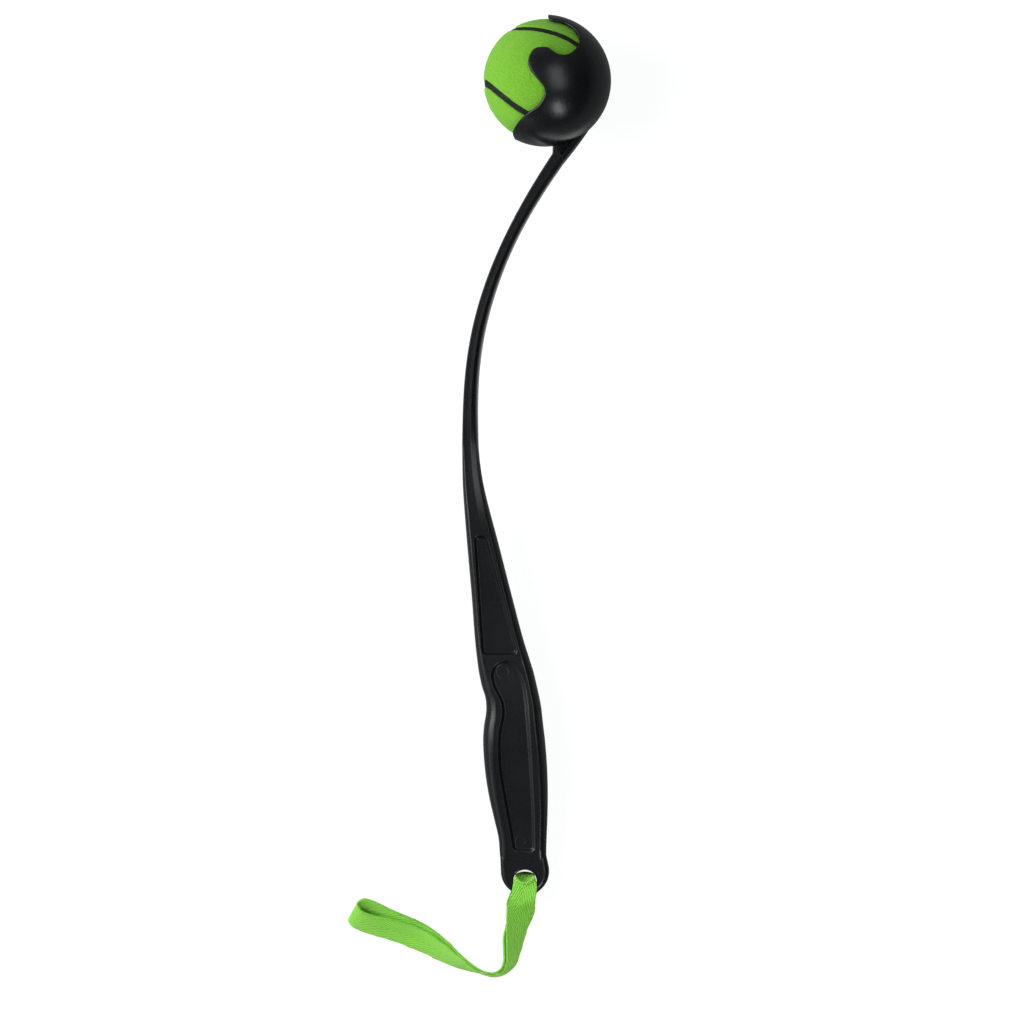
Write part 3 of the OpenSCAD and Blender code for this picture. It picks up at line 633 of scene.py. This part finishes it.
def root_web():
    """Web under the cup: from the arm to its left edge, hollowed on both sides."""
    edge = [(0.2, -3.2), (1.2, -3.5), (2.5, -4.2), (4.2, -5.3), (6, -6.3), (9, -7.3), (12.5, -8.4),
            (17, -9.6)]
    first, length, inner, half, lip = 0.2, 16.8, 1.6, 5.2, 0.9
    rows, span, bend = 60, 22, 6

    def place(i, j):
        run = first + length * i / rows
        left = along(edge, run)
        n = span + bend
        side = 1 if j <= n else -1
        k = j if j <= n else 2 * n - j
        if k <= span:
            x, z = inner + (left + lip - inner) * k / span, half
        else:
            w = pi / 2 * (k - span) / bend
            x, z = left + lip - lip * sin(w), half - lip + lip * cos(w)
            if k == n:
                z = 0
        z -= max(z - POCKET_FLOOR, 0) * float(pocket_share(np.array([x]), np.array([run]))[0])
        return root_spot(x, run, side * z)
    return net("root_web", rows, 2 * (span + bend), place, "launcher", BLACK, (), capped=True,
               crease=50)


root_web()

# Lug: the flat end of the handle about the strap hole
HOLE_R, LUG_END_R, LUG_R, LUG_UP, LUG_T = 6.2, 8.8, 12.7, 5.2, 10.4
FOOT_LEFT, FOOT_RIGHT = 13.1, 11.1


def lug_reach(a):
    """Distance from the strap hole's middle to the lug's outline in a direction.

    From the end to the foot the outline is an arc, a straight flare, a larger arc and a straight side.
    """
    way = Vector((abs(cos(a)), sin(a)))
    turn = atan2(way.y, way.x)
    up = Vector((0, LUG_UP))
    flare = asin((LUG_END_R - LUG_R) / LUG_UP)
    n = Vector((cos(flare), sin(flare)))
    high = up + n * LUG_R
    corner = Vector((FOOT_RIGHT if cos(a) > 0 else FOOT_LEFT, FOOT_AT)) - up
    side = atan2(corner.y, corner.x) - acos(LUG_R / corner.length)
    m = Vector((cos(side), sin(side)))
    touch = up + m * LUG_R
    if turn <= flare:
        return LUG_END_R
    if turn <= atan2(high.y, high.x):
        return LUG_END_R / way.dot(n)
    if turn <= atan2(touch.y, touch.x):
        middle = way.dot(up)
        return middle + sqrt(LUG_R ** 2 - LUG_UP ** 2 + middle ** 2)
    foot = FOOT_AT / way.y
    across = way.dot(m)
    return min((LUG_R + m.dot(up)) / across, foot) if across > 1e-6 else foot


def end_lug():
    """The lug as a ring about the hole. Its profile is share of the way out, offset and height."""
    h, edge, lip = LUG_T / 2, 3.2, 1.0
    count, arc, lip_steps, face_steps = 240, 7, 6, 8
    profile = [(0, 0.0, 0.0), (0, 0.0, h - lip)]
    for k in range(1, lip_steps + 1):
        w = radians(90 / lip_steps * k)
        profile.append((0, lip * (1 - cos(w)), h - lip + lip * sin(w)))
    profile += [(k / face_steps, lip, h) for k in range(1, face_steps)]
    profile += [(1, -edge + edge * sin(pi / 2 * k / arc), h - edge + edge * cos(pi / 2 * k / arc))
                for k in range(arc + 1)]
    profile += [(1, 0.0, 0.0)]
    profile += [(a, b, -c) for a, b, c in reversed(profile[:-1])]

    def place(i, j):
        a = -pi / 2 + 2 * pi * j / count
        far = lug_reach(a)
        share, off, z = profile[i]
        near = HOLE_R + lip
        if share == 0:
            r = HOLE_R + off
        elif share == 1:
            r = far + off
        else:
            r = near + (far - edge - near) * share
        return LYING @ Vector((r * cos(a), r * sin(a), z))
    return net("end_lug", len(profile) - 1, count, place, "launcher", BLACK, ["lug"], crease=50)


end_lug()

# Ball: its seam follows one closed curve on the ball, and each felt panel fills one side of it
BALL = CUP @ Euler((radians(-90), radians(37), radians(-117)), "XYZ").to_matrix().to_4x4()
SEAM_BEND = 0.25
SEAM_LIFT = 2 * sqrt(SEAM_BEND * (1 - SEAM_BEND))
SEAM_HALF, FELT_EDGE = asin(2.1 / BALL_R), asin(1.85 / BALL_R)
FELT_T, FELT_SUNK, FELT_ROLL = 2.0, 0.3, 0.7


def seam_point(t):
    """Point of the seam's middle line on the unit ball."""
    return Vector(((1 - SEAM_BEND) * cos(t) + SEAM_BEND * cos(3 * t),
                   (1 - SEAM_BEND) * sin(t) - SEAM_BEND * sin(3 * t),
                   SEAM_LIFT * sin(2 * t))).normalized()


def beside_seam(t, angle):
    """Point of the unit ball at an angle beside the seam."""
    p = seam_point(t)
    side = p.cross(seam_point(t + 0.01) - seam_point(t - 0.01)).normalized()
    return p * cos(angle) + side * sin(angle)


def felt_panel(name, turned):
    """A dog-bone panel: arcs across one side of the seam, with ragged, rolled edges and a fluffy face."""
    rows, columns = 200, 96
    roll_width, fluff_from = 1.1, 0.8
    place_on = BALL @ Matrix.Rotation(pi, 4, "X") if turned else BALL

    def place(i, j):
        s = acos(1 - 2 * i / rows)

        def edge(t):
            at = Vector((sin(t), cos(t), 7.0 if turned else 1.0))
            ragged = noise.noise(at * 14) * 0.005 + noise.noise(at * 60) * 0.006
            return beside_seam(t, ragged - FELT_EDGE)
        a, b = edge(pi / 4 - s), edge(pi / 4 + s)
        p = between(a, b, j / columns)
        gap = min(p.angle(a), p.angle(b)) * BALL_R if 0 < i < rows else 0
        fluff = noise.noise(p * 18) * 0.18 + noise.noise(p * 45) * 0.18
        roll = FELT_ROLL * (1 - float(ease(gap / roll_width))) ** 2
        return place_on @ (p * (BALL_R - FELT_SUNK - roll + fluff * float(ease(gap / fluff_from))))
    panel = net(name, rows, columns, place, "ball", FELT, [name.replace("cover", "panel")],
                crease=80)
    thick = panel.modifiers.new("thickness", "SOLIDIFY")
    thick.thickness, thick.offset = FELT_T * MM, -1
    return panel


def ball_seam_cord():
    """The seam as a flat cord, deeper below its middle than it rises above it."""
    rows, columns = 360, 12
    sunk, rise, deeper, rough = 1.25, 0.5, 1.6, 0.06

    def place(i, j):
        t = 2 * pi * (i % rows) / rows
        w = 2 * pi * (j % columns) / columns
        p = beside_seam(t, cos(w) * SEAM_HALF)
        crown = sin(w) if sin(w) > 0 else sin(w) * deeper
        return BALL @ (p * (BALL_R - sunk + rise * crown + rough * noise.noise(p * 60)))
    return net("ball_seam_cord", rows, columns, place, "ball", SEAM, ["ball_seam"],
               crease=80)


felt_panel("felt_cover_front", False)
felt_panel("felt_cover_back", True)
ball_seam_cord()
for core in ("ball_core_front", "ball_core_back"):
    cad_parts[core].data.materials.clear()
    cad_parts[core].data.materials.append(CORE)

# Webbing: rows of its route round the loop, each a point that the raised edge leans to and the lower edge
TAPE_W, TAPE_T, TAPE_SLIM = 15.0, 1.1, 0.1
PLY_HIGH, PLY_LOW, CURL_R, LAP_EDGE = 13.5662, 0.65, 5.01547, 2.9
G = PLY_LOW
ROUTE = [
    ((-9.4, -16.3, 13.6), (3.6, -16, 6)),
    ((-9.7, -22.5, 13.4), (1.4, -23.5, 3.4)), ((-9.6, -30.5, 14), (-0.8, -31.5, 2)),
    ((-9.5, -37.6, 14.6), (-2.9, -38.4, 1.2)), ((-9.8, -42.8, 15.2), (-5.3, -44.6, 0.8)),
    ((-12.2, -47.6, 15.4), (-10.6, -49.2, G)), ((-17.6, -49.6, 15.3), (-17, -50.6, G)),
    ((-24.7, -47.6, 15.2), (-24.4, -48.6, G)), ((-34.2, -40.5, 14), (-35, -46, G)),
    ((-43, -33, 12), (-45, -42, G)), ((-54.2, -25.2, 10.2), (-57, -36.6, G)),
    ((-68.9, -20.7, 10.6), (-71, -31.2, G)), ((-79, -18.6, 11.4), (-82, -28, G)),
    ((-85.6, -16.4, 11.6), (-90, -24.6, G)), ((-88.2, -12, 11.4), (-92.8, -20.6, 1)),
    ((-82.6, -9.8, 13.8), (-87, -17.8, 0.8 * LAP_EDGE)), ((-67.5, -17, 12.6), (-70.6, -26, 0.7 * LAP_EDGE)),
    ((-54, -22.6, 10.6), (-55.6, -33, G)), ((-42.4, -31, 11.8), (-43, -39.8, G)),
    ((-33.4, -39.6, 14), (-33.8, -44.8, G)), ((-24.4, -46.3, 15.2), (-24.2, -47.4, G)),
    ((-17.6, -48.4, 15.3), (-17.2, -49.4, G)), ((-12.8, -46.45, 15.3), (-11.5, -48.05, G)),
    ((-11.1, -41.8, 15), (-6.9, -43.5, G)), ((-10.8, -37, 13.6), (-4.6, -37.6, G)),
    ((-10.4, -30.5, 11), (-1.9, -31.2, G)), ((-8.6, -22.5, 8.5), (2.4, -23, G)),
    ((-9.4, -16, 1.8), (5.2, -16, G)), ((-9.4, -12, PLY_LOW), (5.4, -12, G))]
# Rows in the strap hole, from below to above: place and half width across, place of the middle and rise
# of the edges, all in curl radii, then heights of left edge, middle and right edge
HOLE_ROWS = [
    (-0.3, 1.4, -1.62, 0, 0, 0, 0), (-0.1, 1.22, -0.8, 0, 0, 0, 0), (0, 1.04, 0.1, 0, 0, 0, 0),
    (0, 0.96, 0.66, -0.12, 0.06, 0.06, 0.06), (0, 0.93, 0.84, -0.22, 0.18, 0.18, 0.18),
    (0, 0.93, 0.74, -0.1, 0.37, 0.37, 0.37), (0, 0.96, 0.48, 0.12, 0.6, 0.6, 0.6),
    (0, 0.96, 0.02, 0.52, 0.86, 0.86, 0.86), (0, 1, -0.22, 0.72, 1.1, 1.1, 1.1),
    (0, 1.08, -0.38, 0.74, 1.06, 1.03, 1.06), (-0.02, 1.2, -0.64, 0.65, 1.02, 0.99, 1.02),
    (-0.06, 1.28, -1.2, 0.26, 1.02, 1, 1.02), (-0.2, 1.33, -1.8, 0.08, 1.02, 1, 1.01),
    (-0.36, 1.33, -2.43, 0.02, 1.02, 0.95, 0.8)]
# Lanes across the tape, and mesh rows from one guide row to the next
LANES, PACE = 18, 7


def guide_rows():
    """Guide rows of the whole loop, each of points from edge to edge."""
    rows = []
    for high, low in ROUTE:
        low = Vector(low)
        high = low + (Vector(high) - low).normalized() * TAPE_W
        rows.append([high.lerp(low, j / LANES) for j in range(LANES + 1)])
    for shift, half, middle, rise, left, mid, right in HOLE_ROWS:
        row = []
        for q in (2 * j / LANES - 1 for j in range(LANES + 1)):
            up = mid + ((left if q < 0 else right) - mid) * q * q
            row.append(Vector(((shift + half * q) * CURL_R, (middle + rise * q * q) * CURL_R,
                               PLY_LOW + (PLY_HIGH - PLY_LOW) * up)))
        rows.append(row)
    return rows


GUIDES = guide_rows()


def loop_row(x):
    """Row of the webbing at x, counted in guide rows round the closed loop."""
    i = int(floor(x))
    four = [GUIDES[(i + k) % len(GUIDES)] for k in (-1, 0, 1, 2)]
    return [through([row[j] for row in four], 1 + x - i) for j in range(LANES + 1)]


def tape_normal(rows, i, j, closed):
    """Unit normal of the tape at point j of row i."""
    n, m = len(rows) - 1, len(rows[0]) - 1
    a, b = ((i - 1) % n, (i + 1) % n) if closed else (max(i - 1, 0), min(i + 1, n))
    return (rows[b][j] - rows[a][j]).cross(rows[i][min(j + 1, m)] - rows[i][max(j - 1, 0)]).normalized()


def tape_band(name, rows, closed, offset, replaced):
    """A piece of tape on rows of points, and its length. Its edges waver a little, each in its own way."""
    wave, apart, waver_from = 5.0, 9.0, 0.6
    runs = [0.0]
    m = len(rows[0]) - 1
    for a, b in zip(rows, rows[1:]):
        runs.append(runs[-1] + (b[m // 2] - a[m // 2]).length)

    def place(i, j):
        q = 2 * j / m - 1
        k = i % (len(rows) - 1) if closed else i
        p = rows[k][j] + tape_normal(rows, k, j, closed) * offset
        side = (rows[k][m] - rows[k][0]).normalized()
        turn = 1 if q > 0 else -1
        at = Vector((runs[k] / wave, turn * apart, 0.0))
        waver = 0.5 * noise.noise(at) + 0.3 * noise.noise(at * 2.3)
        waver = waver * max(0, abs(q) - waver_from) / (1 - waver_from)
        return LEVEL @ (p + side * waver * turn)

    def tape(i, j):
        return (2 * (j + LANES - m) / LANES - 1) * TAPE_W / 2 * MM, runs[i] * MM
    band = net(name, len(rows) - 1, m, place, "strap", TAPE, replaced, tape, crease=80)
    thick = band.modifiers.new("thickness", "SOLIDIFY")
    thick.thickness, thick.offset, thick.use_even_offset = (TAPE_T - TAPE_SLIM) * MM, 0, False
    soft = band.modifiers.new("selvedge", "BEVEL")
    soft.width, soft.segments, soft.limit_method, soft.angle_limit = 0.3 * MM, 2, "ANGLE", radians(50)
    return band, runs[-1]


loop_rows = [loop_row((k % (len(GUIDES) * PACE)) / PACE) for k in range(len(GUIDES) * PACE + 1)]
loop, loop_length = tape_band("wrist_loop", loop_rows, True, 0.0, ["wrist_strap"])

# Sewn lap under the ply behind: its middle in guide rows, length, mesh rows, lanes left off, gap to the loop
LAP_AT, LAP_LEN, LAP_STEPS, LAP_TRIM, LAP_GAP = 15.62, 18, 20, 3, 0.1
LAP_PITCH = (Vector(ROUTE[16][1]) - Vector(ROUTE[15][1])).length


def lap_row(run):
    """Row of the loop at a distance from the lap's middle."""
    return loop_row(LAP_AT + run / LAP_PITCH)


lap_rows = [lap_row(LAP_LEN * (k / LAP_STEPS - 0.5))[LAP_TRIM:] for k in range(LAP_STEPS + 1)]
lap, lap_length = tape_band("loop_lap", lap_rows, False, TAPE_T + LAP_GAP, ["strap_lap"])


def lap_stitches():
    """Lines of stitches over the lap, each stitch a short arched thread across the tape."""
    lines, margin, nearby, first_lane = 6, 2.8, 0.35, 6
    half_wide, half_high, proud = 0.26, 0.24, 0.2
    bm = bmesh.new()
    for line in range(lines):
        run = (LAP_LEN - margin) * (line / (lines - 1) - 0.5)
        rows = [lap_row(run + e) for e in (-nearby, 0, nearby)]
        for j in range(first_lane, LANES - 5, 2):
            a, b = rows[1][j], rows[1][j + 1]
            n = tape_normal(rows, 1, j, False)
            start, end = a.lerp(b, 0.05), b.lerp(a, -0.55)
            side = (rows[2][j] - rows[0][j]).normalized()
            made = bmesh.ops.create_uvsphere(bm, u_segments=8, v_segments=5, radius=1)["verts"]
            fit = Matrix((side * half_wide, (end - start) / 2, n * half_high)).transposed().to_4x4()
            middle = (start + end) / 2 + n * (1.5 * TAPE_T + LAP_GAP + proud)
            bmesh.ops.transform(bm, matrix=LEVEL @ Matrix.Translation(middle) @ fit, verts=made)
    bmesh.ops.recalc_face_normals(bm, faces=bm.faces)
    return piece_of(bm, "lap_stitches", "strap", THREAD, ["strap_stitching"], 80)


stitches = lap_stitches()
loop_length * MM
lap_length * MM

# Camera: straight down from far off, as in the photograph. The view is VIEW_W metres wide at VIEW_AT
VIEW_W, VIEW_AT = 0.5386, Vector((0.01729, -0.0077, 0.012))
scene = bpy.context.scene
lens = bpy.data.cameras.new("lens")
lens.lens, lens.sensor_width, lens.clip_end = 400, 36, 50
camera = bpy.data.objects.new("camera", lens)
scene.collection.objects.link(camera)
camera.location = VIEW_AT + Vector((0, 0, VIEW_W * lens.lens / lens.sensor_width))
scene.camera = camera

# World: a tent with pale walls, brightest at the upper left, a dim roof and a glow low at the left
SKY_TINT, LAMP_TINT = (0.87, 0.96, 1.0), (0.95, 0.985, 1)
ROOF_DIM, ROOF_STRIP, LOW_GLOW, SKY_LEAST = 0.05, 0.09, 1.1, 0.02
scene.view_settings.view_transform = "Standard"
world = bpy.data.worlds.new("tent")
scene.world = world
world.use_nodes = True
background = world.node_tree.nodes["Background"]
way = Wire(world.node_tree, background.outputs[0]).make("TexCoord", out="Generated")
east, north, rise = (way.axis(k) for k in range(3))
roof = rise.step(0.48, 0.86)
walls = 0.24 - east * 0.26 + north * 0.17
strip = east.step(-0.3, -0.05)
low = (1 - rise.step(0.1, 0.4)) * (0 - east).most(0)
glow = (walls * (1 - roof) + roof * (strip * ROOF_STRIP + ROOF_DIM) + low * LOW_GLOW).most(SKY_LEAST)
world.node_tree.links.new(glow.socket, background.inputs["Strength"])
background.inputs["Color"].default_value = (*SKY_TINT, 1)


# Lamps: soft boxes above, at the left and below the picture
def soft_box(name, place, aim, width, height, power):
    lamp = bpy.data.lights.new(name, "AREA")
    lamp.shape, lamp.size, lamp.size_y, lamp.energy = "RECTANGLE", width, height, power
    lamp.color = LAMP_TINT
    box = bpy.data.objects.new(name, lamp)
    scene.collection.objects.link(box)
    box.location = place
    box.rotation_mode = "QUATERNION"
    box.rotation_quaternion = (Vector(aim) - Vector(place)).to_track_quat("-Z", "Y")


soft_box("over", (1.08, 0.42, 2.75), (0.03, 0.1, 0), 2.0, 1.2, 18.5)
soft_box("left", (-1.1, 0.25, 0.75), (0, 0, 0), 0.9, 1.4, 18.5)
soft_box("foot", (0.56, -0.92, 0.86), (0, 0, 0), 0.28, 0.6, 4.6)

# Floor: white to the camera with the shadow kept, dark in reflections apart from a bright card by the arm
FLOOR_HALF, PAPER = 6, (0.9, 0.9, 0.9)
SEEN_GLOW, MIRROR_GLOW, CARD_GLOW = 1.16, 0.11, 1.3
SEEN_SHARE, MIRROR_SHARE, CARD_SHARE = 0.76, 0.85, 0.9
CARD_FROM, CARD_LEFT = 0.028, 0.0046
floor_mesh = bpy.data.meshes.new("floor")
bm = bmesh.new()
bmesh.ops.create_grid(bm, x_segments=2, y_segments=2, size=FLOOR_HALF)
bm.to_mesh(floor_mesh)
bm.free()
floor_piece = bpy.data.objects.new("floor", floor_mesh)
scene.collection.objects.link(floor_piece)
paper = bpy.data.materials.new("paper")
paper.use_nodes = True
tree = paper.node_tree
sheet_shader = tree.nodes["Principled BSDF"]
sheet_shader.inputs["Base Color"].default_value = (*PAPER, 1)
sheet_shader.inputs["Roughness"].default_value = 0.9
surface = sheet_shader.outputs[0]
ray = Wire(tree, surface)
seen, mirrored = ray.make("LightPath", out="Is Camera Ray"), ray.make("LightPath", out="Is Glossy Ray")
spot = ray.make("TexCoord", out="Object")
up = spot.axis(1) - CARD_FROM
beside = spot.axis(0) - (up * up * (up * 5 + 1.3) - CARD_LEFT)
card = (up.step(-0.01, 0.02) * (1 - up.step(0.12, 0.15))
        * beside.step(0, 0.006) * (1 - beside.step(0.045, 0.07)))
for strength, amount in ((MIRROR_GLOW, mirrored * MIRROR_SHARE), (CARD_GLOW, mirrored * card * CARD_SHARE),
                         (SEEN_GLOW, seen * SEEN_SHARE)):
    shine = tree.nodes.new("ShaderNodeEmission")
    shine.inputs["Strength"].default_value = strength
    share = tree.nodes.new("ShaderNodeMixShader")
    tree.links.new(amount.socket, share.inputs[0])
    tree.links.new(surface, share.inputs[1])
    tree.links.new(shine.outputs[0], share.inputs[2])
    surface = share.outputs[0]
tree.links.new(surface, tree.nodes["Material Output"].inputs["Surface"])
floor_mesh.materials.append(paper)
